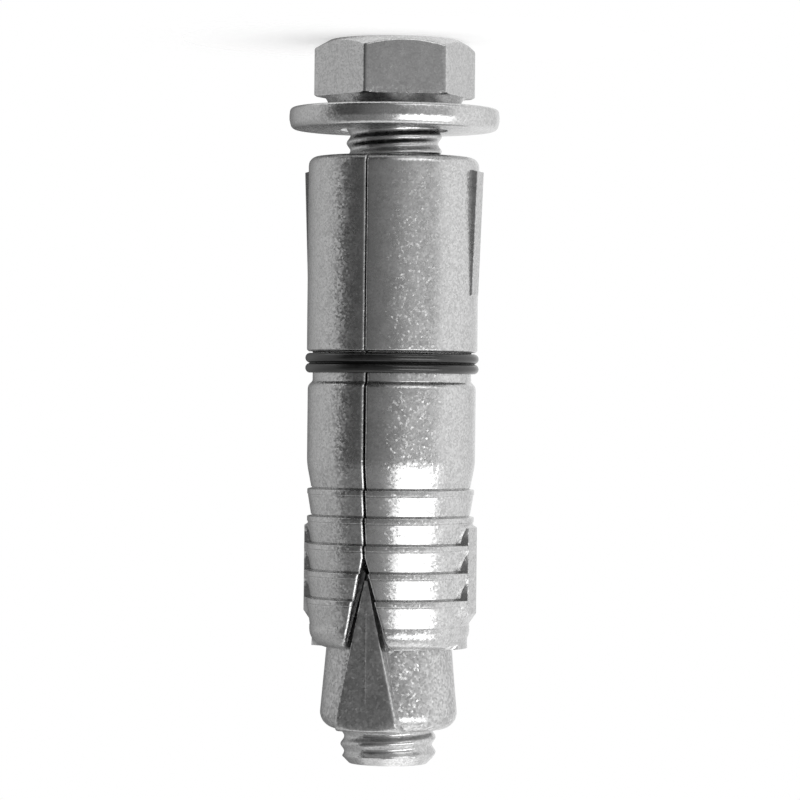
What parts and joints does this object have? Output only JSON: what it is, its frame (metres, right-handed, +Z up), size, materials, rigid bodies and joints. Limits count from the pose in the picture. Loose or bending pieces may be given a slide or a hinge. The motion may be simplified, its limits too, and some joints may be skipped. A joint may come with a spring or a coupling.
{
  "type": "expansion anchor",
  "caption": "Shield type expansion anchor: a split toothed steel shield held by an elastic ring, with a ribbed cone nut that a hexagon bolt and washer draw in to spread it.",
  "frame": {"origin": "centre of the flat top of the bolt head, on which the anchor stands", "axes": "+Z up the bolt axis towards the thread end; +X towards the middle of the right shield half, so the slits face +Y and -Y"},
  "size_m": [0.0175, 0.0174, 0.0601],
  "materials": {
    "bolt_zinc": "bright zinc plating",
    "washer_zinc": "bright zinc plating on a stamped disc",
    "shield_zinc": "bright zinc plating, finely speckled",
    "ring_rubber": "black, slightly glossy",
    "nut_zinc": "zinc plating over a rough formed surface"
  },
  "bodies": {
    "bolt": {"hex_bolt": "bolt_zinc"},
    "washer": {"washer": "washer_zinc"},
    "ring": {"retaining_ring": "ring_rubber"},
    "nut": {"cone_nut": "nut_zinc"},
    "half_right": {"shield_half_right": "shield_zinc"},
    "half_left": {"shield_half_left": "shield_zinc"}
  },
  "joints": [
    {"name": "washer_slide", "type": "slide", "parent": "bolt", "child": "washer", "axis": [0, 0, 1], "range_m": [0, 0.002]},
    {"name": "bolt_turn", "type": "hinge", "parent": "bolt", "child": "ring", "pos_m": [0, 0, 0.027], "axis": [0, 0, -1], "range_deg": [0, 1080]},
    {"name": "nut_draw", "type": "slide", "parent": "ring", "child": "nut", "axis": [0, 0, -1], "range_m": [0, 0.00375]},
    {"name": "right_spread", "type": "hinge", "parent": "ring", "child": "half_right", "pos_m": [0, 0, 0.00972], "axis": [0, 1, 0], "range_deg": [0, 0.9001]},
    {"name": "left_spread", "type": "hinge", "parent": "ring", "child": "half_left", "pos_m": [0, 0, 0.00972], "axis": [0, -1, 0], "range_deg": [0, 0.9001]}
  ],
  "couplings": [
    {"joint": "nut_draw", "follows": "bolt_turn", "m_per_rad": 0.00019894},
    {"joint": "right_spread", "follows": "bolt_turn", "ratio": 0.00083333},
    {"joint": "left_spread", "follows": "bolt_turn", "ratio": 0.00083333}
  ]
}
